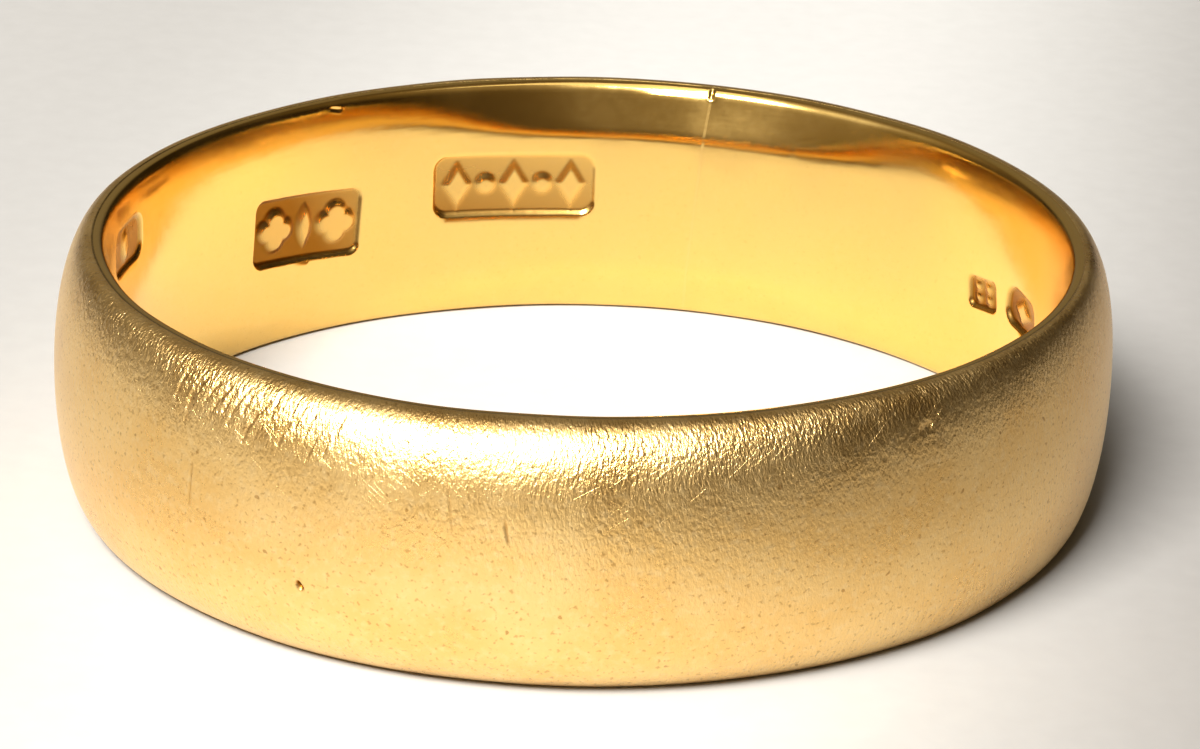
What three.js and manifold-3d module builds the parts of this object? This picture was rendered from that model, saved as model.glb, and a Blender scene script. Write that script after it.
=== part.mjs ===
// A plain wedding band: one strip of D-section gold bent round a mandrel, its two ends
// joined by a wafer of hard solder. It lies flat on the worktop, with the finger hole along +Z.
// Millimetres. The origin is on the worktop, at the middle of the finger hole.

import * as THREE from 'three';
import { mergeVertices } from 'three/addons/utils/BufferGeometryUtils.js';
import Module from 'manifold-3d';

// Driving dimensions
const BAND_WIDTH = 5.0; // along the finger
const OUTER_DIAMETER = 20.0; // mean, across the highest line of the dome
const INNER_DIAMETER = 17.1; // mean, if the flat of the wall stood in everywhere as by the joint
const RIM_WIDTH = 0.12; // flat land left on each edge of the strip
const CORNER_RADIUS = 0.2; // between each land and the finger hole
const FLARE_TILT = THREE.MathUtils.degToRad(19); // the worn wall opens this much at each end
const FLARE_HEIGHT = 0.8; // over this much of the width
const BEND_HEIGHT = 0.12; // and turns into the flat wall over this much more

// The hoop has been squeezed in wear, and the dome worn thinner on two sides: how far the
// radius and the dome's height swing from their means, twice in a turn, and where they peak.
const HOOP_SWING = 0.03;
const HOOP_LONG_AXIS = THREE.MathUtils.degToRad(17);
const DOME_SWING = 0.28;
const DOME_THICK_AXIS = THREE.MathUtils.degToRad(79);

// The finger-hole side is thick and fully flared near the joint. Away from it, it stands in
// by this share less, and the flares draw in towards the corners.
const WALL_THINNING = 0.5;
const FLARE_SHARPENING = 1.5;
const THICK_WALL_MIDDLE = THREE.MathUtils.degToRad(80);
const THICK_WALL_REACH = THREE.MathUtils.degToRad(32);

// The joint: the strip's ends stand apart by the solder's thickness and a hair on each side.
const JOINT_ANGLE = THREE.MathUtils.degToRad(75.5);
const SOLDER_THICKNESS = 0.16;
const SOLDER_CLEARANCE = 0.02;

// Punched marks on the inner wall, as blank recesses. Angles and slants are in degrees.
const MARK_DEPTH = 0.07;
const MARKS = [
  { angle: 101.3, height: 2.87, length: 3.4, width: 1.3, slant: 0 },
  { angle: 132.4, height: 2.45, length: 2.6, width: 1.4, slant: 4 },
  { angle: 29.2, height: 2.3, length: 0.85, width: 0.6, slant: 0 },
  { angle: 19.6, height: 2.45, length: 1.15, width: 0.75, slant: 0 },
  { angle: 171.9, height: 3.9, length: 1.5, width: 0.9, slant: 0 },
];
const PUNCH_BODY = 1; // how far the punch reaches back into the hole

// Fineness of the facets
const HOOP_STEPS = 120;
const DOME_STEPS = 12;
const CORNER_STEPS = 3;
const BEND_STEPS = 2;
const MARK_STEPS = 4;

// The path runs round the inner edge of the lands. Offsets are measured outwards from it.
const FLARE_DEPTH = FLARE_HEIGHT * Math.tan(FLARE_TILT);
const BEND_DEPTH = (BEND_HEIGHT * Math.tan(FLARE_TILT)) / 2;
const WALL_OFFSET = -(BEND_DEPTH + FLARE_DEPTH + CORNER_RADIUS * Math.cos(FLARE_TILT));
const PATH_RADIUS = INNER_DIAMETER / 2 - WALL_OFFSET;
const CROWN_OFFSET = OUTER_DIAMETER / 2 - PATH_RADIUS;

const gold = new THREE.MeshStandardMaterial({ color: 0xd9a95a, roughness: 0.32, metalness: 1.0 });
const solder = new THREE.MeshStandardMaterial({ color: 0xe3c58a, roughness: 0.4, metalness: 1.0 });

function hoopRadius(angle) {
  return PATH_RADIUS * (1 + HOOP_SWING * Math.cos(2 * (angle - HOOP_LONG_AXIS)));
}

function domeShare(angle) {
  return 1 + DOME_SWING * Math.cos(2 * (angle - DOME_THICK_AXIS));
}

// 0 in the thick stretch of the finger-hole side, 1 in the thin one.
function thinShare(angle) {
  const turn = angle - THICK_WALL_MIDDLE;
  const away = Math.atan2(Math.sin(turn), Math.cos(turn)) / THICK_WALL_REACH;
  return 1 - Math.exp(-(away ** 4));
}

function wallOffset(angle) {
  return WALL_OFFSET * (1 - WALL_THINNING * thinShare(angle));
}

// An arc of the squeezed hoop, anticlockwise seen from above.
class HoopArc extends THREE.Curve {
  constructor(start, end) {
    super();
    this.start = start;
    this.end = end;
  }

  getPoint(t, target = new THREE.Vector3()) {
    const angle = THREE.MathUtils.lerp(this.start, this.end, t);
    const radius = hoopRadius(angle);
    return target.set(radius * Math.cos(angle), radius * Math.sin(angle), 0);
  }
}

// Half of the finger-hole side, from the flat wall up to the land, as [height, offset] pairs.
// Height is measured from the middle of the band.
function mouthPoints() {
  const points = [];
  const cornerHeight = BAND_WIDTH / 2 - CORNER_RADIUS;
  const flareTop = cornerHeight + CORNER_RADIUS * Math.sin(FLARE_TILT);
  for (let i = 0; i <= BEND_STEPS; i++) {
    const share = i / BEND_STEPS;
    const height = flareTop - FLARE_HEIGHT - BEND_HEIGHT * (1 - share);
    points.push([height, WALL_OFFSET + BEND_DEPTH * share * share]);
  }
  for (let i = 0; i <= CORNER_STEPS; i++) {
    const tilt = THREE.MathUtils.lerp(FLARE_TILT, Math.PI / 2, i / CORNER_STEPS);
    points.push([cornerHeight + CORNER_RADIUS * Math.sin(tilt), -CORNER_RADIUS * Math.cos(tilt)]);
  }
  return points;
}

// The strip's whole section: up the finger-hole side, then back down over the dome.
function sectionPoints() {
  const mouth = mouthPoints();
  const points = mouth.map(([height, offset]) => [-height, offset]).reverse();
  points.push(...mouth);
  for (let i = 0; i <= DOME_STEPS; i++) {
    const turn = (Math.PI * i) / DOME_STEPS;
    const rise = (CROWN_OFFSET - RIM_WIDTH) * Math.sin(turn);
    points.push([(BAND_WIDTH / 2) * Math.cos(turn), RIM_WIDTH + rise]);
  }
  return points;
}

// A closed outline swept along a hoop arc at half the band's width above the worktop. On an
// anticlockwise path, a shape's x axis comes out pointing down and its y axis inwards.
function sweep(points, arc, steps) {
  const shape = new THREE.Shape(points.map(([height, offset]) => new THREE.Vector2(-height, -offset)));
  const geometry = new THREE.ExtrudeGeometry(shape, { steps, extrudePath: arc, bevelEnabled: false });
  return geometry.translate(0, 0, BAND_WIDTH / 2);
}

// Thins or thickens both sides of the strip round the hoop. The lands stay put.
function wear(geometry) {
  const position = geometry.attributes.position;
  for (let i = 0; i < position.count; i++) {
    const angle = Math.atan2(position.getY(i), position.getX(i));
    const radius = Math.hypot(position.getX(i), position.getY(i));
    const offset = radius - hoopRadius(angle);
    let worn = radius;
    if (offset > RIM_WIDTH) {
      worn += (offset - RIM_WIDTH) * (domeShare(angle) - 1);
    } else if (offset < 0) {
      const rise = Math.max(0, 1 - offset / WALL_OFFSET);
      const drawnIn = rise ** (1 + FLARE_SHARPENING * thinShare(angle));
      worn = hoopRadius(angle) + wallOffset(angle) * (1 - drawnIn);
    }
    position.setXY(i, worn * Math.cos(angle), worn * Math.sin(angle));
  }
  return geometry;
}

const wasm = await Module();
wasm.setup();

function toSolid(geometry) {
  const bare = geometry.clone();
  bare.deleteAttribute('normal');
  bare.deleteAttribute('uv');
  const merged = mergeVertices(bare, 1e-5);
  const mesh = new wasm.Mesh({
    numProp: 3,
    vertProperties: new Float32Array(merged.attributes.position.array),
    triVerts: new Uint32Array(merged.index.array),
  });
  return new wasm.Manifold(mesh);
}

function toGeometry(solid) {
  const mesh = solid.getMesh();
  const geometry = new THREE.BufferGeometry();
  geometry.setAttribute('position', new THREE.BufferAttribute(mesh.vertProperties, 3));
  geometry.setIndex(new THREE.BufferAttribute(mesh.triVerts, 1));
  geometry.computeVertexNormals();
  return geometry;
}

// The face of a mark's punch, bent to the wall and turned by the mark's slant.
function markCutter({ angle, height, length, width, slant }) {
  const middle = THREE.MathUtils.degToRad(angle);
  const half = length / INNER_DIAMETER;
  const outline = [
    [-width / 2, wallOffset(middle) - PUNCH_BODY],
    [width / 2, wallOffset(middle) - PUNCH_BODY],
    [width / 2, wallOffset(middle) + MARK_DEPTH],
    [-width / 2, wallOffset(middle) + MARK_DEPTH],
  ];
  const geometry = sweep(outline, new HoopArc(middle - half, middle + half), MARK_STEPS);
  const outwards = new THREE.Vector3(Math.cos(middle), Math.sin(middle), 0);
  geometry.translate(0, 0, -BAND_WIDTH / 2);
  geometry.applyMatrix4(new THREE.Matrix4().makeRotationAxis(outwards, THREE.MathUtils.degToRad(slant)));
  geometry.translate(0, 0, height);
  return toSolid(geometry);
}

function makeShank() {
  const gap = (SOLDER_THICKNESS / 2 + SOLDER_CLEARANCE) / hoopRadius(JOINT_ANGLE);
  const arc = new HoopArc(JOINT_ANGLE + gap, JOINT_ANGLE + 2 * Math.PI - gap);
  let solid = toSolid(wear(sweep(sectionPoints(), arc, HOOP_STEPS)));
  for (const mark of MARKS) {
    solid = solid.subtract(markCutter(mark));
  }
  const mesh = new THREE.Mesh(toGeometry(solid), gold);
  mesh.name = 'shank';
  return mesh;
}

function makeSolderJoint() {
  const half = SOLDER_THICKNESS / 2 / hoopRadius(JOINT_ANGLE);
  const arc = new HoopArc(JOINT_ANGLE - half, JOINT_ANGLE + half);
  const mesh = new THREE.Mesh(wear(sweep(sectionPoints(), arc, 1)), solder);
  mesh.name = 'solder_joint';
  return mesh;
}

const weddingBand = new THREE.Group();
weddingBand.add(makeShank(), makeSolderJoint());

export default weddingBand;
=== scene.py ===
"""The looks of a worn gold wedding band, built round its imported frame.

The strip is one grid of quads: columns run round the hoop, rows run round the D section.
Every dint, scratch and punched mark is a height on that grid, and the cells that carry the
fine ones are split. Lengths are in millimetres until a mesh is made, then times MM.
"""
import math

import bpy
import numpy as np
from mathutils import Matrix, Vector


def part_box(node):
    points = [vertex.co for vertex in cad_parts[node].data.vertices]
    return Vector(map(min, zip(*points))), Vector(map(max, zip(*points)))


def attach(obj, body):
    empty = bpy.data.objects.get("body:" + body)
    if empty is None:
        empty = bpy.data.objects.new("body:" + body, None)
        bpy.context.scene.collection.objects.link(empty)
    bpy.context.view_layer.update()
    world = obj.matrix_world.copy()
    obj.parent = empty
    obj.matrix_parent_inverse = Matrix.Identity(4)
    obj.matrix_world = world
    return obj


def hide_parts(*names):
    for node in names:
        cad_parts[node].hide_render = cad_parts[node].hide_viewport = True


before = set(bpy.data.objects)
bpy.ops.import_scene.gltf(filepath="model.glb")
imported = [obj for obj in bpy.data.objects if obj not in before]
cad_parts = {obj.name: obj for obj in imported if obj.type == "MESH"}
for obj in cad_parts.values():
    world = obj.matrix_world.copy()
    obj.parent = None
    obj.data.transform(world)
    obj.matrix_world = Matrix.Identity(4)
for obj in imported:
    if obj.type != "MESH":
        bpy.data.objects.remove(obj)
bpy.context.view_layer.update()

LOW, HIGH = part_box("shank")

# Driving sizes. The frame gives the scale: the band is 5 mm wide along the finger.
BAND_WIDTH = 5.0
MM = (HIGH.z - LOW.z) / BAND_WIDTH
OUTER_DIAMETER = 20.0
INNER_DIAMETER = 17.1
RIM_WIDTH = 0.12
CORNER_RADIUS = 0.2
FLARE_TILT = math.radians(19)
FLARE_HEIGHT = 0.8
BEND_HEIGHT = 0.12
EDGE_WEAR = 0.03

# The hoop is squeezed, and the dome is worn thinner on two sides.
HOOP_SWING = 0.03
HOOP_LONG_AXIS = math.radians(17)
DOME_SWING = 0.28
DOME_THICK_AXIS = math.radians(79)

# The finger-hole side is thick and fully flared near the joint. Away from it, it stands in
# by this share less, and the flares draw in towards the corners.
WALL_THINNING = 0.5
FLARE_SHARPENING = 1.5
THICK_WALL_MIDDLE = math.radians(80)
THICK_WALL_REACH = math.radians(32)

# The soldered joint: where it is, how far it leans over the width, and how thick it looks.
JOINT_ANGLE = math.radians(75.5)
JOINT_LEAN = math.radians(-0.55)
SOLDER_THICKNESS = 0.07

# Fineness of the grid. A split cell is cut into SPLIT x SPLIT, the columns beside the joint are
# END_COLUMN wide, and the rows stand closer within RIM_REACH of each rim.
COLUMNS = 560
SOLDER_COLUMNS = 3
ROWS = 100
SPLIT = 4
END_COLUMN = 0.003
RIM_CROWDING = 2.6
RIM_REACH = 0.45
CURVE_STEPS = 60
DOME_STEPS = 400

# The shoulders start this high above or below the middle, and are full this much further on.
SHOULDER_FROM = 0.9
SHOULDER_FADE = 1.0

FLARE_DEPTH = FLARE_HEIGHT * math.tan(FLARE_TILT)
BEND_DEPTH = BEND_HEIGHT * math.tan(FLARE_TILT) / 2
WALL_OFFSET = -(BEND_DEPTH + FLARE_DEPTH + CORNER_RADIUS * math.cos(FLARE_TILT))
PATH_RADIUS = INNER_DIAMETER / 2 - WALL_OFFSET
DOME_RISE = OUTER_DIAMETER / 2 - PATH_RADIUS - RIM_WIDTH

INSIDE, OUTSIDE = "inside", "outside"

# The stage. Azimuths are in degrees anticlockwise from +X.
KEY_AZIMUTH = -119
REAR_AZIMUTH = 100
SHADE_AZIMUTH = -10
FLOOR_REACH = 120 * OUTER_DIAMETER
CAMERA_ELEVATION = math.radians(22.53)
CAMERA_DISTANCE = 82.6
CAMERA_ROLL = math.radians(2.07)
CAMERA_AIM = (0.26, -0.387)
CAMERA_LENS = 129.9
CAMERA_SENSOR = 36
CLIP_START, CLIP_END = 1, 5000

# The floor's painted shade deepens between these distances from the middle, towards SHADE_AZIMUTH and
# away from it, and only to LEFT_SHARE of its full depth on the far side.
RIGHT_SHADE = (1, 17)
LEFT_SHADE = (-2, -16)
LEFT_SHARE = 0.5
PAPER_ROUGHNESS = 0.85


# ---------------------------------------------------------------- section and hoop

def mouth_outline():
    """The finger-hole side from the middle of the wall up to the land, as (height, offset)."""
    flare_foot = BAND_WIDTH / 2 - CORNER_RADIUS * (1 - math.sin(FLARE_TILT)) - FLARE_HEIGHT
    share = np.linspace(0, 1, CURVE_STEPS)
    bend = np.c_[flare_foot - BEND_HEIGHT * (1 - share), WALL_OFFSET + BEND_DEPTH * share**2]
    tilt = np.linspace(FLARE_TILT, math.pi / 2, CURVE_STEPS)
    corner = np.c_[BAND_WIDTH / 2 - CORNER_RADIUS * (1 - np.sin(tilt)), -CORNER_RADIUS * np.cos(tilt)]
    return np.r_[bend, corner]


def section_outline():
    """The whole section as a closed loop: up the finger-hole side, down over the dome."""
    mouth = mouth_outline()
    turn = np.linspace(0, math.pi, DOME_STEPS)
    dome = np.c_[BAND_WIDTH / 2 * np.cos(turn), RIM_WIDTH + DOME_RISE * np.sin(turn)]
    return np.r_[mouth[::-1] * (-1, 1), mouth, dome]


class Section:
    """The worn section, read by the distance travelled round it."""

    def __init__(self, samples=4096):
        outline = section_outline()
        closed = np.r_[outline, outline[:1]]
        travel = np.r_[0, np.cumsum(np.hypot(*np.diff(closed, axis=0).T))]
        self.length = travel[-1]
        self.at = np.linspace(0, self.length, samples, endpoint=False)
        loop = np.stack([np.interp(self.at, travel, closed[:, k]) for k in (0, 1)], axis=1)
        frequency = np.fft.fftfreq(samples, self.length / samples)
        blur = np.exp(-0.5 * (2 * np.pi * frequency * EDGE_WEAR) ** 2)[:, None]
        loop = np.real(np.fft.ifft(np.fft.fft(loop, axis=0) * blur, axis=0))
        self.height = loop[:, 0] * (BAND_WIDTH / 2 / loop[:, 0].max())
        self.offset = loop[:, 1]
        self.top = self.at[self.height.argmax()]
        slope = np.roll(loop, -1, axis=0) - np.roll(loop, 1, axis=0)
        slope /= np.hypot(*slope.T)[:, None]
        self.normal_height, self.normal_offset = slope[:, 1], -slope[:, 0]

    def read(self, values, travel):
        return np.interp(travel, self.at, values, period=self.length)

    def travel_to(self, side, height):
        """How far round a height above the middle of the band lies, on one side."""
        inner = self.at < self.top
        pick = inner if side == INSIDE else ~inner
        order = np.argsort(self.height[pick])
        return float(np.interp(height, self.height[pick][order], self.at[pick][order]))

    def rows(self, count):
        """Row places round the section, crowded at the two rims."""
        to_rim = np.minimum(np.abs(self.at - self.top), np.minimum(self.at, self.length - self.at))
        weight = 1 + RIM_CROWDING * np.exp(-((to_rim / RIM_REACH) ** 2))
        total = np.r_[0, np.cumsum(weight)]
        places = np.r_[self.at, self.length]
        return np.interp(np.linspace(0, total[-1], count + 1), total, places)


SECTION = Section()


def hoop_point(angle):
    """The path round the inner edge of the lands: its points and outward normals."""
    swing = 2 * (angle - HOOP_LONG_AXIS)
    radius = PATH_RADIUS * (1 + HOOP_SWING * np.cos(swing))
    growth = -2 * PATH_RADIUS * HOOP_SWING * np.sin(swing)
    cosine, sine = np.cos(angle), np.sin(angle)
    tangent = np.stack([growth * cosine - radius * sine, growth * sine + radius * cosine], axis=-1)
    tangent /= np.linalg.norm(tangent, axis=-1, keepdims=True)
    point = np.stack([radius * cosine, radius * sine], axis=-1)
    return point, np.stack([tangent[..., 1], -tangent[..., 0]], axis=-1)


def turn_from(angle, start):
    """The shorter turn from one angle to another, in radians."""
    return np.remainder(angle - start + math.pi, 2 * math.pi) - math.pi


def thin_share(angle):
    """0 in the thick stretch of the finger-hole side, 1 in the thin one."""
    away = turn_from(angle, THICK_WALL_MIDDLE) / THICK_WALL_REACH
    return 1 - np.exp(-(away**4))


def band_surface(angle, travel, height):
    """Points on the band's surface, raised along the surface's normal by height."""
    point, outward = hoop_point(angle)
    offset = SECTION.read(SECTION.offset, travel)
    thin = thin_share(angle)
    drawn_in = np.clip(1 - offset / WALL_OFFSET, 0, 1) ** (1 + FLARE_SHARPENING * thin)
    offset = np.where(offset < 0, WALL_OFFSET * (1 - WALL_THINNING * thin) * (1 - drawn_in), offset)
    dome = 1 + DOME_SWING * np.cos(2 * (angle - DOME_THICK_AXIS))
    offset = np.where(offset > RIM_WIDTH, RIM_WIDTH + (offset - RIM_WIDTH) * dome, offset)
    offset = offset + height * SECTION.read(SECTION.normal_offset, travel)
    level = SECTION.read(SECTION.height, travel) + height * SECTION.read(SECTION.normal_height, travel)
    flat = point + outward * offset[..., None]
    return np.concatenate([flat, (level + BAND_WIDTH / 2)[..., None]], axis=-1)


def joint_angle(travel):
    return JOINT_ANGLE + JOINT_LEAN * SECTION.read(SECTION.height, travel)


# ---------------------------------------------------------------- relief

def soft(distance, edge):
    """1 inside a shape, 0 outside, with a slope this wide across its outline."""
    share = np.clip(0.5 - distance / edge, 0, 1)
    return share * share * (3 - 2 * share)


def rounded_box(along, up, length, width, corner):
    x = np.abs(along) - length / 2 + corner
    y = np.abs(up) - width / 2 + corner
    return np.hypot(np.maximum(x, 0), np.maximum(y, 0)) + np.minimum(np.maximum(x, y), 0) - corner


def disc(along, up, radius):
    return np.hypot(along, up) - radius


def lozenge(along, up, length, width):
    reach = 2 * np.abs(along) / length + 2 * np.abs(up) / width - 1
    return reach * length * width / (2 * math.hypot(length, width))


def leaf(along, up, length, width):
    """A pointed oval: where two discs overlap."""
    radius = (length**2 / width + width) / 4
    shift = radius - width / 2
    return np.maximum(disc(along, up - shift, radius), disc(along, up + shift, radius))


def quatrefoil(along, up, size):
    petal = size * 0.27
    reach = size / 2 - petal
    petals = [disc(along - reach * math.cos(a), up - reach * math.sin(a), petal)
              for a in np.radians((0, 90, 180, 270))]
    return np.minimum.reduce(petals + [disc(along, up, petal)])


def beads_and_lozenges(along, up):
    """A row of tall lozenges with a bead between each two."""
    pitch = 0.6
    shapes = [lozenge(along - k * pitch, up, 0.56, 0.92) for k in (-2, 0, 2)]
    shapes += [disc(along - k * pitch, up, 0.19) for k in (-1, 1)]
    return np.minimum.reduce(shapes)


def two_flowers(along, up):
    """Two four-petalled flowers with an upright leaf between them."""
    flowers = [quatrefoil(along - side * 0.74, up, 0.86) for side in (-1, 1)]
    return np.minimum.reduce(flowers + [leaf(up, along, 0.84, 0.3)])


def four_beads(along, up):
    return np.minimum.reduce([disc(along - x, up - y, 0.1) for x in (-0.17, 0.17) for y in (-0.12, 0.12)])


def one_lozenge(along, up):
    return lozenge(along, up, 0.6, 0.5)


def one_leaf(along, up):
    return leaf(up, along, 0.62, 0.34)


# Each punched mark: angle round the hoop, height above the worktop, length, width, slant, how
# rounded its frame is, its motif, how much deeper it is struck at its left and at its foot, and
# how much old soil it holds.
MARKS = [
    dict(angle=101.3, level=2.87, length=3.38, width=1.28, slant=0, corner=0.28,
         motif=beads_and_lozenges, left=0.35, foot=0.6, depth=0.075, stain=0.6),
    dict(angle=132.4, level=2.45, length=2.56, width=1.38, slant=4, corner=0.2,
         motif=two_flowers, left=0.5, foot=0.2, depth=0.1, stain=1.0),
    dict(angle=29.2, level=2.3, length=0.85, width=0.6, slant=-8, corner=0.12,
         motif=four_beads, left=0.2, foot=0.5, depth=0.07, stain=1.0),
    dict(angle=19.6, level=2.45, length=1.15, width=0.75, slant=6, corner=0.3,
         motif=one_lozenge, left=0.2, foot=0.4, depth=0.08, stain=1.0),
    dict(angle=171.9, level=3.9, length=1.5, width=0.9, slant=0, corner=0.3,
         motif=one_leaf, left=0.0, foot=0.2, depth=0.07, stain=0.8),
]
MARK_EDGE = 0.12
MOTIF_EDGE = 0.2
MOTIF_RISE = 0.75
MOTIF_CLEAN = 0.7
MARK_MARGIN = 0.12
DINT_MARGIN = 0.1

# The metal pushed up round a dint: its height as a share of the depth, and where it stands and
# how wide it is in half widths of the dint.
LIP_HEIGHT = 0.22
LIP_PLACE = 1.25
LIP_SPREAD = 0.3

# The filed stretch of the top corner, on one side of the joint.
FILED_LENGTH = 1.5
FILED_FADE = 0.9
FILED_BELOW_TOP = 0.07
FILED_REACH = 0.1
FILED_DEPTH = 0.024


class Relief:
    """Adds heights and stains to a set of surface places."""

    def __init__(self, angle, travel):
        self.angle, self.travel = angle, travel
        self.height = np.zeros(angle.shape)
        self.stain = np.zeros(angle.shape)
        self.inside = travel < SECTION.top

    def local(self, side, angle, level, slant=0.0):
        """Along and up from a place on one side, in millimetres, turned by slant degrees."""
        radius = (INNER_DIAMETER if side == INSIDE else OUTER_DIAMETER) / 2
        along = turn_from(self.angle, math.radians(angle)) * radius
        up = self.travel - SECTION.travel_to(side, level - BAND_WIDTH / 2)
        if side == OUTSIDE:
            up = -up
        c, s = math.cos(math.radians(slant)), math.sin(math.radians(slant))
        return c * along + s * up, c * up - s * along

    def punch(self, mark):
        along, up = self.local(INSIDE, mark["angle"], mark["level"], mark["slant"])
        near = (np.abs(along) < mark["length"]) & (np.abs(up) < mark["width"])
        along, up = along[near], up[near]
        hole = soft(rounded_box(along, up, mark["length"], mark["width"], mark["corner"]), MARK_EDGE)
        motif = soft(mark["motif"](along, up), MOTIF_EDGE)
        # Anticlockwise is to the left for somebody looking at the wall from inside the hoop.
        lean = 1 + mark["left"] * along / mark["length"] - mark["foot"] * up / mark["width"]
        self.height[near] -= mark["depth"] * lean * hole * (1 - MOTIF_RISE * motif)
        self.stain[near] = np.maximum(self.stain[near],
                                      mark["stain"] * hole * (1 - MOTIF_CLEAN * motif) * lean)

    def dint(self, side, angle, level, length, width, depth, slant=0.0, bend=0.0, stain=0.0):
        """A groove or, when length equals width, a round dint. bend curves it, per millimetre."""
        along, up = self.local(side, angle, level, slant)
        near = (np.abs(along) < length) & (np.abs(up) < length + 4 * width)
        along, up = along[near], up[near]
        up = up - bend * along**2
        straight = (length - width) / 2
        ends = np.maximum(np.abs(along) - straight, 0)
        reach = np.hypot(ends, up) / (width / 2)
        taper = 1 - 0.6 * (along / (length / 2)) ** 2 if length > width else 1.0
        bowl = np.clip(1 - reach**2, 0, 1) ** 2
        lip = LIP_HEIGHT * np.exp(-(((reach - LIP_PLACE) / LIP_SPREAD) ** 2))
        self.height[near] += depth * np.clip(taper, 0.1, 1) * (lip - bowl)
        self.stain[near] = np.maximum(self.stain[near], stain * bowl)

    def ripple(self, waves):
        """Slow unevenness: a sum of plane waves over the unrolled surface."""
        for round_count, per_mm, size, phase in waves:
            self.height += size * np.sin(round_count * self.angle + per_mm * self.travel + phase)

    def file_rim(self):
        """The top corner was filed flatter for a few millimetres on one side of the joint."""
        past = np.remainder(self.angle - joint_angle(self.travel), 2 * math.pi) * INNER_DIAMETER / 2
        along = soft(past - FILED_LENGTH, FILED_FADE)
        across = self.travel - SECTION.travel_to(INSIDE, BAND_WIDTH / 2 - FILED_BELOW_TOP)
        self.height -= FILED_DEPTH * along * np.exp(-((across / FILED_REACH) ** 2))


# Wear that has a place of its own on the outside: angle, level, length, width, depth, slant,
# bend and stain.
SINGLE_WEAR = [
    dict(angle=-118.6, level=1.7, length=0.22, width=0.14, depth=0.1, slant=-52, stain=2.0),
    dict(angle=-132.1, level=2.95, length=0.85, width=0.06, depth=0.016, slant=88, stain=0.5),
    dict(angle=-103.2, level=3.75, length=1.1, width=0.06, depth=0.013, slant=-82, stain=0.4),
    dict(angle=-97.4, level=3.3, length=0.42, width=0.08, depth=0.024, slant=-80, stain=0.7),
    dict(angle=-102.4, level=2.95, length=0.95, width=0.05, depth=0.01, slant=-36),
    dict(angle=-51.0, level=4.42, length=0.44, width=0.24, depth=0.024, slant=14),
    dict(angle=-84.0, level=1.1, length=0.22, width=0.05, depth=0.008, slant=-10),
    dict(angle=-62.0, level=2.6, length=0.2, width=0.06, depth=0.01, slant=70),
]


# The same on the finger-hole side: a notch at the joint's rim, and nicks in the corner.
WALL_WEAR = [
    dict(angle=74.2, level=4.93, length=0.34, width=0.14, depth=0.03, slant=90),
    dict(angle=127.5, level=4.84, length=0.3, width=0.12, depth=0.02, slant=15),
    dict(angle=60.0, level=4.3, length=0.5, width=0.06, depth=0.004, slant=-20),
    dict(angle=112.5, level=1.6, length=0.8, width=0.06, depth=0.003, slant=8),
]


def crescents(random):
    """The cluster of slanted, curved rub marks on the upper left shoulder."""
    for k in range(17):
        yield dict(angle=-135.5 + 1.25 * k + random.uniform(-0.35, 0.35), level=random.uniform(4.3, 4.78),
                   length=random.uniform(0.45, 0.95), width=random.uniform(0.07, 0.12),
                   depth=random.uniform(0.016, 0.03), slant=random.uniform(62, 84), bend=-0.35)


def shoulder_rubs(random, count):
    """Short slanted rubs on both shoulders, all the way round."""
    for _ in range(count):
        low = random.random() < 0.45
        level = random.uniform(0.3, 0.9) if low else random.uniform(4.1, 4.75)
        yield dict(angle=random.uniform(-180, 180), level=level, length=random.uniform(0.3, 0.7),
                   width=random.uniform(0.16, 0.3), depth=random.uniform(0.004, 0.011),
                   slant=random.uniform(50, 120), bend=random.uniform(-0.4, 0.4))


def crown_dints(random, count):
    """Shallow round knocks anywhere on the dome."""
    for _ in range(count):
        size = random.uniform(0.22, 0.6)
        yield dict(angle=random.uniform(-180, 180), level=random.uniform(0.8, 4.2), length=size,
                   width=size * random.uniform(0.7, 1.0), depth=size * random.uniform(0.004, 0.014),
                   slant=random.uniform(0, 180))


def waves(random, count, longest, shortest, size):
    """Plane waves for Relief.ripple, with whole numbers of turns round the hoop."""
    made = []
    for _ in range(count):
        length = random.uniform(shortest, longest)
        heading = random.uniform(0, math.pi)
        turns = round(2 * math.pi / length * math.cos(heading) * OUTER_DIAMETER / 2)
        made.append((turns, 2 * math.pi / length * math.sin(heading), size * length / longest,
                     random.uniform(0, 2 * math.pi)))
    return made


class Wear:
    """Every height on the band, drawn once from one seed."""

    def __init__(self):
        random = np.random.default_rng(1911)
        self.fine = SINGLE_WEAR + list(crescents(random))
        self.broad = list(shoulder_rubs(random, 110)) + list(crown_dints(random, 90))
        self.waves = waves(random, 14, 6.0, 1.6, 0.0022)

    def apply(self, angle, travel):
        relief = Relief(angle, travel)
        relief.ripple(self.waves)
        relief.file_rim()
        for dint in self.broad + self.fine:
            relief.dint(OUTSIDE, **dint)
        for dint in WALL_WEAR:
            relief.dint(INSIDE, **dint)
        for mark in MARKS:
            relief.punch(mark)
        return relief

    def needs_splitting(self, angle, travel):
        """Which places lie under a mark or a fine dint."""
        relief = Relief(angle, travel)
        split = np.zeros(angle.shape, bool)
        for mark in MARKS:
            along, up = relief.local(INSIDE, mark["angle"], mark["level"], mark["slant"])
            length, width = mark["length"] + 2 * MARK_MARGIN, mark["width"] + 2 * MARK_MARGIN
            split |= rounded_box(along, up, length, width, mark["corner"]) < 0
        sides = [(OUTSIDE, dint) for dint in self.fine] + [(INSIDE, dint) for dint in WALL_WEAR]
        for side, dint in sides:
            along, up = relief.local(side, dint["angle"], dint["level"], dint.get("slant", 0))
            margin = dint["width"] + DINT_MARGIN
            up = up - dint.get("bend", 0) * along**2
            split |= (np.abs(along) < dint["length"] / 2 + margin) & (np.abs(up) < margin)
        return split


WEAR = Wear()


# ---------------------------------------------------------------- meshes

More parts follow.
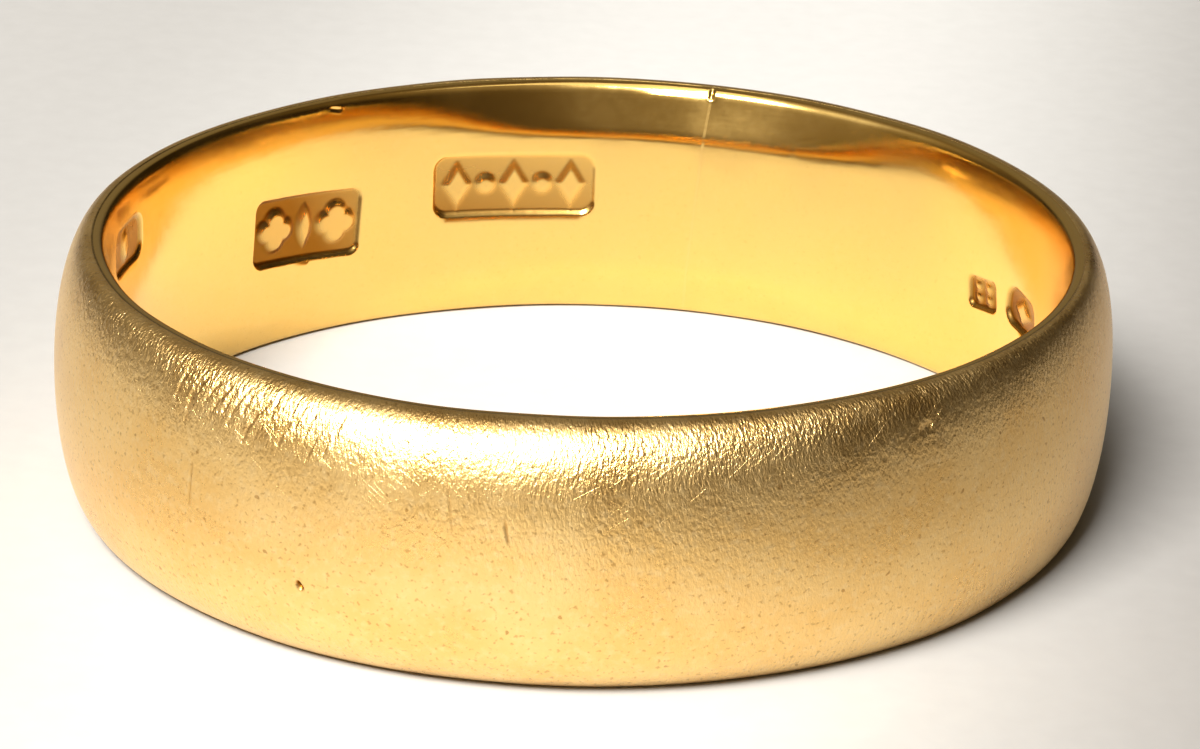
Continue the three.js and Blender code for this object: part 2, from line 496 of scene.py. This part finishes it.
def column_turns(wide, narrow):
    """Shares of the way from start to end. The first and last whole columns are narrow ones, so
    that smooth shading turns the corner to the flat ends inside them."""
    ends = np.linspace(0, narrow, SPLIT, endpoint=False)
    between = np.linspace(narrow, 1 - narrow, wide - 2 * SPLIT + 1)
    return np.r_[ends, between, 1 - ends[::-1]]


def used_places(split, tall):
    """Which places of the fine grid carry a point: the corners of the coarse cells, and every
    place in a split one."""
    used = np.zeros((split.shape[0] * SPLIT + 1, tall), bool)
    used[::SPLIT, ::SPLIT] = True
    for i, j in zip(*np.nonzero(split)):
        up = np.arange(j * SPLIT, (j + 1) * SPLIT + 1) % tall
        used[i * SPLIT:(i + 1) * SPLIT + 1, up] = True
    return used


def split_cell(x, y):
    """A coarse cell cut into small ones, from its first corner."""
    return [((x + a, y + b), (x + a, y + b + 1), (x + a + 1, y + b + 1), (x + a + 1, y + b))
            for a in range(SPLIT) for b in range(SPLIT)]


def whole_cell(x, y, used):
    """A coarse cell left in one piece, which takes the extra points of a split neighbour."""
    ring = ([(x, y + k) for k in range(SPLIT)] + [(x + k, y + SPLIT) for k in range(SPLIT)]
            + [(x + SPLIT, y + SPLIT - k) for k in range(SPLIT)]
            + [(x + SPLIT - k, y) for k in range(SPLIT)])
    return tuple((i, j) for i, j in ring if used[i, j % used.shape[1]])


def grid_faces(split, used):
    faces = []
    for i, j in np.ndindex(*split.shape):
        x, y = i * SPLIT, j * SPLIT
        faces += split_cell(x, y) if split[i, j] else [whole_cell(x, y, used)]
    return faces


def end_caps(used):
    wide, tall = used.shape[0] - 1, used.shape[1]
    return [tuple((0, j) for j in range(tall - 1, -1, -1) if used[0, j]),
            tuple((wide, j) for j in range(tall) if used[wide, j])]


def paint(mesh, unrolled, relief, travel):
    """The unrolled surface in millimetres as UVs, and what the material reads at each point."""
    layer = mesh.uv_layers.new(name="unrolled_mm")
    layer.data.foreach_set("uv", unrolled.astype(np.float32).ravel())
    level = np.abs(SECTION.read(SECTION.height, travel))
    shoulder = np.clip((level - SHOULDER_FROM) / SHOULDER_FADE, 0, 1)
    painted = {"stain": relief.stain, "inside": relief.inside.astype(float), "shoulder": shoulder}
    for label, values in painted.items():
        attribute = mesh.attributes.new(label, "FLOAT", "POINT")
        attribute.data.foreach_set("value", values.astype(np.float32))


def grid_mesh(name, start, end, columns, split_at):
    """A stretch of the band between two joint sides, as one closed mesh.

    start and end give an angle for each place round the section. split_at picks the coarse cells
    that are cut up, and the cells beside those take the extra points as n-gons.
    """
    wide, tall = columns * SPLIT, ROWS * SPLIT
    place = SECTION.rows(tall)
    turns = column_turns(wide, END_COLUMN / (end(0) - start(0)) / (OUTER_DIAMETER / 2))

    def angle_at(i, j):
        return start(place[j]) + (end(place[j]) - start(place[j])) * turns[i]

    middle_i, middle_j = np.indices((columns, ROWS)) * SPLIT + SPLIT // 2
    split = split_at(angle_at(middle_i, middle_j), place[middle_j])
    used = used_places(split, tall)
    index = np.cumsum(used.ravel()).reshape(used.shape) - 1
    at_i, at_j = np.nonzero(used)
    angle, travel = angle_at(at_i, at_j), place[at_j]
    relief = WEAR.apply(angle, travel)
    points = band_surface(angle, travel, relief.height) * MM
    sides, caps = grid_faces(split, used), end_caps(used)
    faces = sides + caps

    mesh = bpy.data.meshes.new(name)
    mesh.from_pydata(points.tolist(), [], [[index[i, j % tall] for i, j in face] for face in faces])
    mesh.polygons.foreach_set("use_smooth", [True] * len(sides) + [False] * len(caps))
    corners = np.array([corner for face in faces for corner in face])
    unrolled = np.stack([angle_at(corners[:, 0], corners[:, 1]) * OUTER_DIAMETER / 2,
                         place[corners[:, 1]]], axis=1)
    paint(mesh, unrolled, relief, travel)
    mesh.validate()
    return mesh


def add_piece(name, mesh, material, node):
    piece = bpy.data.objects.new(name, mesh)
    bpy.context.scene.collection.objects.link(piece)
    mesh.materials.append(material)
    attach(piece, "root")
    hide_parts(node)
    return piece


def half_joint():
    return SOLDER_THICKNESS / OUTER_DIAMETER


def make_strip(material):
    def start(travel):
        return joint_angle(travel) + half_joint()

    def end(travel):
        return joint_angle(travel) + 2 * math.pi - half_joint()

    mesh = grid_mesh("strip", start, end, COLUMNS, WEAR.needs_splitting)
    return add_piece("strip", mesh, material, "shank")


def make_solder(material):
    def start(travel):
        return joint_angle(travel) - half_joint()

    def end(travel):
        return joint_angle(travel) + half_joint()

    def everywhere(angle, travel):
        return np.ones(angle.shape, bool)

    mesh = grid_mesh("solder", start, end, SOLDER_COLUMNS, everywhere)
    return add_piece("solder", mesh, material, "solder_joint")


# ---------------------------------------------------------------- materials

class Tree:
    """A short way to lay nodes in a material or world."""

    def __init__(self, owner):
        owner.use_nodes = True
        self.tree = owner.node_tree
        self.tree.nodes.clear()

    def node(self, kind, inputs=None, **settings):
        made = self.tree.nodes.new(kind)
        for key, value in settings.items():
            setattr(made, key, value)
        for key, value in (inputs or {}).items():
            if isinstance(value, bpy.types.NodeSocket):
                self.tree.links.new(value, made.inputs[key])
            else:
                made.inputs[key].default_value = value
        return made

    def math(self, operation, a, b=0.0, c=0.0):
        return self.node("ShaderNodeMath", {0: a, 1: b, 2: c}, operation=operation).outputs[0]

    def mix(self, share, a, b):
        made = self.node("ShaderNodeMix", {0: share, 2: a, 3: b}, data_type="FLOAT")
        return made.outputs[0]

    def blend(self, share, a, b):
        made = self.node("ShaderNodeMix", {0: share, 6: a, 7: b}, data_type="RGBA")
        return made.outputs[2]

    def remap(self, value, low, high, to_low=0.0, to_high=1.0):
        made = self.node("ShaderNodeMapRange", {0: value, 1: low, 2: high, 3: to_low, 4: to_high},
                         interpolation_type="SMOOTHSTEP")
        return made.outputs[0]

    def noise(self, vector, scale=1.0, detail=2.0, roughness=0.5):
        return self.node("ShaderNodeTexNoise", {"Vector": vector, "Scale": scale, "Detail": detail,
                                                "Roughness": roughness}).outputs["Fac"]

    def stretched(self, vector, degrees, along, across):
        """The unrolled surface, turned and scaled so that features run long in one direction."""
        turned = self.node("ShaderNodeVectorRotate", {"Vector": vector, "Angle": math.radians(degrees)},
                           rotation_type="Z_AXIS").outputs[0]
        return self.node("ShaderNodeVectorMath", {0: turned, 1: (along, across, 1.0)},
                         operation="MULTIPLY").outputs[0]


def hairlines(tree, place, degrees, along, across, width):
    """Thin broken lines in one direction: the contour of a stretched noise."""
    field = tree.noise(tree.stretched(place, degrees, along, across), detail=0.0)
    off = tree.math("ABSOLUTE", tree.math("SUBTRACT", field, 0.5))
    line = tree.remap(off, 0.0, width, 1.0, 0.0)
    breaks = tree.noise(tree.stretched(place, degrees + 7, along * 2.5, across * 0.4), detail=1.0)
    return tree.math("MULTIPLY", line, tree.remap(breaks, 0.5, 0.62))


def rubs(tree, place, degrees, along, across):
    """Dense short rubs, a few hundredths of a millimetre wide."""
    return tree.noise(tree.stretched(place, degrees, along, across), detail=2.0, roughness=0.55)


BUMP_DEPTH = 0.016
PIT_COLOUR = (0.02, 0.012, 0.006, 1)

# Noise scales on the unrolled surface, per millimetre.
CLOUD_SCALE = 0.55
SWELL_SCALE = 2.1
POLISH_SCALE = 1.3
FLECK_SCALE = 5.0
SPECK_SCALE = 5.2
DUST_SCALE = 11.0
GRIT_SCALE = 14.0

# How much of each shows on the finger-hole side, and how much of the satin on the crown.
WALL_SHARE = 0.8
WALL_DIRT = 0.2
CROWN_SATIN = 0.6

# What old soil adds to the roughness, and what the flecks do.
SOIL_ROUGHNESS = 0.16
FLECK_ROUGHNESS = 0.06


def metal_colour(tree, place, cloud, fleck, stain, inside, tint, deep, pale, wall, soil_colour):
    """Clouded gold, deeper on the finger-hole side, with specks of dirt and soil in the dints."""
    colour = tree.blend(tree.remap(cloud, 0.35, 0.65), deep, tint)
    colour = tree.blend(tree.remap(fleck, 0.45, 0.75, 0.0, 0.5), colour, pale)
    colour = tree.blend(tree.math("MULTIPLY", inside, WALL_SHARE), colour, wall)
    speck = tree.remap(tree.noise(place, SPECK_SCALE, 1.0), 0.72, 0.78, 0.0, 0.55)
    dust = tree.remap(tree.noise(place, DUST_SCALE, 1.0), 0.60, 0.74, 0.0, 0.4)
    shown = tree.mix(inside, 1.0, WALL_DIRT)
    dirt = tree.math("MULTIPLY", tree.math("MAXIMUM", speck, dust), shown)
    soil = tree.math("MAXIMUM", stain, dirt)
    colour = tree.blend(soil, colour, soil_colour)
    return tree.blend(tree.remap(stain, 1.2, 2.0, 0.0, 0.9), colour, PIT_COLOUR)


def metal_bump(tree, place, inside, shoulder):
    """Satin rubs and hairlines outside, fainter on the crown; a soft polish inside."""
    fine = tree.math("ADD", rubs(tree, place, 80, 8.0, 17.0), rubs(tree, place, 106, 7.0, 16.0))
    grit = tree.noise(place, GRIT_SCALE, 3.0, 0.6)
    fine = tree.math("ADD", fine, tree.math("MULTIPLY", grit, 0.7))
    lines = tree.math("ADD", hairlines(tree, place, 31, 0.5, 6.0, 0.010),
                      hairlines(tree, place, 97, 0.6, 7.0, 0.012))
    lines = tree.math("ADD", lines, hairlines(tree, place, 146, 0.5, 6.5, 0.010))
    swell = tree.noise(place, SWELL_SCALE, 2.0)
    outer = tree.math("SUBTRACT", tree.math("ADD", fine, tree.math("MULTIPLY", swell, 0.9)),
                      tree.math("MULTIPLY", lines, 0.1))
    polish = tree.math("ADD", tree.math("MULTIPLY", rubs(tree, place, 3, 1.2, 9.0), 0.05),
                       tree.math("MULTIPLY", tree.noise(place, POLISH_SCALE, 2.0), 0.3))
    outer = tree.math("MULTIPLY", outer, tree.remap(shoulder, 0.0, 1.0, CROWN_SATIN, 1.0))
    relief = tree.mix(inside, outer, polish)
    bump = tree.node("ShaderNodeBump", {"Strength": 1.0, "Distance": BUMP_DEPTH * MM, "Height": relief})
    return bump.outputs[0]


def metal_roughness(tree, cloud, fleck, stain, inside, rough_out, rough_in):
    rough = tree.mix(inside, rough_out, rough_in)
    rough = tree.math("ADD", rough, tree.remap(cloud, 0.3, 0.7, -0.03, 0.04))
    rough = tree.math("ADD", rough, tree.math("MULTIPLY", fleck, FLECK_ROUGHNESS))
    return tree.math("ADD", rough, tree.math("MULTIPLY", stain, SOIL_ROUGHNESS))


def gold_material(name, tint, deep, pale, wall, soil_colour, rough_out, rough_in):
    material = bpy.data.materials.new(name)
    tree = Tree(material)
    place = tree.node("ShaderNodeUVMap", uv_map="unrolled_mm").outputs[0]
    stain = tree.node("ShaderNodeAttribute", attribute_name="stain").outputs["Fac"]
    inside = tree.node("ShaderNodeAttribute", attribute_name="inside").outputs["Fac"]
    shoulder = tree.node("ShaderNodeAttribute", attribute_name="shoulder").outputs["Fac"]
    cloud = tree.noise(place, CLOUD_SCALE, 3.0)
    fleck = tree.noise(place, FLECK_SCALE, 3.0, 0.6)
    shader = tree.node("ShaderNodeBsdfPrincipled", {
        "Base Color": metal_colour(tree, place, cloud, fleck, stain, inside,
                                   tint, deep, pale, wall, soil_colour),
        "Roughness": metal_roughness(tree, cloud, fleck, stain, inside, rough_out, rough_in),
        "Metallic": 1.0,
        "Normal": metal_bump(tree, place, inside, shoulder)})
    tree.node("ShaderNodeOutputMaterial", {"Surface": shader.outputs[0]})
    return material


def worn_gold():
    return gold_material(
        "worn_gold", tint=(0.93, 0.63, 0.25, 1), deep=(0.89, 0.56, 0.19, 1), pale=(0.95, 0.70, 0.34, 1),
        wall=(0.90, 0.59, 0.165, 1), soil_colour=(0.30, 0.12, 0.012, 1), rough_out=0.27, rough_in=0.13)


def gold_solder():
    return gold_material(
        "gold_solder", tint=(0.92, 0.63, 0.27, 1), deep=(0.88, 0.57, 0.21, 1), pale=(0.94, 0.70, 0.36, 1),
        wall=(0.90, 0.60, 0.18, 1), soil_colour=(0.42, 0.2, 0.05, 1), rough_out=0.29, rough_in=0.16)


def floor_material():
    """Pale paper with painted shade on both sides, standing in for the light falling off, deeper on the
    right.
    """
    material = bpy.data.materials.new("pale_paper")
    tree = Tree(material)
    place = tree.node("ShaderNodeTexCoord").outputs["Object"]
    grain = tree.noise(place, 1800.0, 3.0)
    pale = tree.blend(grain, (0.43, 0.425, 0.41, 1), (0.47, 0.465, 0.45, 1))
    # Painted shade: darker paper where the light is made to fall off, at both sides of the band.
    painted_shade = tree.blend(grain, (0.18, 0.17, 0.16, 1), (0.20, 0.19, 0.18, 1))
    reach = tree.node("ShaderNodeVectorMath", {0: place, 1: tuple(direction(SHADE_AZIMUTH, 0))},
                      operation="DOT_PRODUCT").outputs["Value"]
    right = tree.remap(reach, RIGHT_SHADE[0] * MM, RIGHT_SHADE[1] * MM)
    left = tree.remap(reach, LEFT_SHADE[0] * MM, LEFT_SHADE[1] * MM, 0, LEFT_SHARE)
    share = tree.math("ADD", right, left)
    colour = tree.blend(share, pale, painted_shade)
    bump = tree.node("ShaderNodeBump", {"Strength": 0.25, "Distance": 0.02 * MM, "Height": grain})
    shader = tree.node("ShaderNodeBsdfPrincipled", {
        "Base Color": colour, "Roughness": PAPER_ROUGHNESS, "Normal": bump.outputs[0]})
    tree.node("ShaderNodeOutputMaterial", {"Surface": shader.outputs[0]})
    return material


# ---------------------------------------------------------------- stage

def direction(azimuth, elevation):
    """A unit vector; azimuth is anticlockwise from +X, both in degrees."""
    a, e = math.radians(azimuth), math.radians(elevation)
    return Vector((math.cos(a) * math.cos(e), math.sin(a) * math.cos(e), math.sin(e)))


def add_floor():
    mesh = bpy.data.meshes.new("floor")
    reach = FLOOR_REACH * MM
    mesh.from_pydata([(-reach, -reach, 0), (reach, -reach, 0), (reach, reach, 0), (-reach, reach, 0)],
                     [], [(0, 1, 2, 3)])
    floor = bpy.data.objects.new("floor", mesh)
    bpy.context.scene.collection.objects.link(floor)
    mesh.materials.append(floor_material())


def add_softbox(name, azimuth, elevation, distance, width, height, power, colour):
    lamp = bpy.data.lights.new(name, "AREA")
    lamp.shape = "RECTANGLE"
    lamp.size, lamp.size_y = width, height
    lamp.energy = power
    lamp.color = colour
    softbox = bpy.data.objects.new(name, lamp)
    bpy.context.scene.collection.objects.link(softbox)
    towards = direction(azimuth, elevation)
    softbox.location = towards * distance
    softbox.rotation_mode = "QUATERNION"
    softbox.rotation_quaternion = towards.to_track_quat("Z", "Y")


ROOM_STOPS = ((0.5, (0.11, 0.08, 0.042, 1)), (0.8, (0.28, 0.23, 0.16, 1)))
ROOM_DARKEST = (0.022, 0.015, 0.006, 1)
ROOM_BRIGHTEST = (0.75, 0.72, 0.68, 1)
REAR_GLOW = (0.19, 0.165, 0.115, 1)
SEEN_WALL = (0.72, 0.71, 0.69, 1)


def add_world():
    """A dim warm room, brighter on the key light's side and low down at the rear.

    The camera sees a plain pale wall.
    """
    world = bpy.data.worlds.new("room")
    bpy.context.scene.world = world
    tree = Tree(world)
    look = tree.node("ShaderNodeTexCoord").outputs["Generated"]
    facing = tree.node("ShaderNodeVectorMath", {0: look, 1: tuple(direction(KEY_AZIMUTH - 15, 55))},
                       operation="DOT_PRODUCT").outputs["Value"]
    ramp = tree.node("ShaderNodeValToRGB", {"Fac": facing})
    stops = ramp.color_ramp.elements
    stops[0].position, stops[0].color = 0.1, ROOM_DARKEST
    stops[1].position, stops[1].color = 1.0, ROOM_BRIGHTEST
    for place, colour in ROOM_STOPS:
        stops.new(place).color = colour
    behind = tree.node("ShaderNodeVectorMath", {0: look, 1: tuple(direction(REAR_AZIMUTH, 26))},
                       operation="DOT_PRODUCT").outputs["Value"]
    lit = tree.blend(tree.remap(behind, 0.8, 0.98), ramp.outputs["Color"], REAR_GLOW)
    seen = tree.node("ShaderNodeLightPath").outputs["Is Camera Ray"]
    colour = tree.blend(seen, lit, SEEN_WALL)
    background = tree.node("ShaderNodeBackground", {"Color": colour, "Strength": 1.0})
    tree.node("ShaderNodeOutputWorld", {"Surface": background.outputs[0]})


def add_camera():
    """Looks down on the band from the front, a little rolled, through a long lens."""
    centre = Vector((0, 0, BAND_WIDTH / 2 * MM))
    back = Vector((0, -math.cos(CAMERA_ELEVATION), math.sin(CAMERA_ELEVATION)))
    place = centre + back * CAMERA_DISTANCE * MM
    level = Vector((1, 0, 0))
    upright = back.cross(level)
    right = level * math.cos(CAMERA_ROLL) + upright * math.sin(CAMERA_ROLL)
    up = upright * math.cos(CAMERA_ROLL) - level * math.sin(CAMERA_ROLL)
    aim = centre + right * CAMERA_AIM[0] * MM + up * CAMERA_AIM[1] * MM
    back = (place - aim).normalized()
    right = up.cross(back).normalized()
    up = back.cross(right)
    lens = bpy.data.cameras.new("camera")
    lens.sensor_width = CAMERA_SENSOR
    lens.lens = CAMERA_LENS
    lens.clip_start = CLIP_START * MM
    lens.clip_end = CLIP_END * MM
    camera = bpy.data.objects.new("camera", lens)
    bpy.context.scene.collection.objects.link(camera)
    camera.matrix_world = Matrix.Translation(place) @ Matrix((right, up, back)).transposed().to_4x4()
    bpy.context.scene.camera = camera


def light_studio():
    """Two soft boxes. Their sizes and distances are in metres, their powers in watts."""
    add_softbox("key", azimuth=KEY_AZIMUTH, elevation=50, distance=0.42, width=0.21, height=0.17,
                power=5.2, colour=(1.0, 0.98, 0.95))
    add_softbox("overhead", azimuth=KEY_AZIMUTH, elevation=84, distance=0.5, width=0.3, height=0.3,
                power=0.26, colour=(1.0, 0.99, 0.97))
    bpy.context.scene.view_settings.view_transform = "Standard"


add_camera()
make_strip(worn_gold())
make_solder(gold_solder())
add_floor()
add_world()
light_studio()
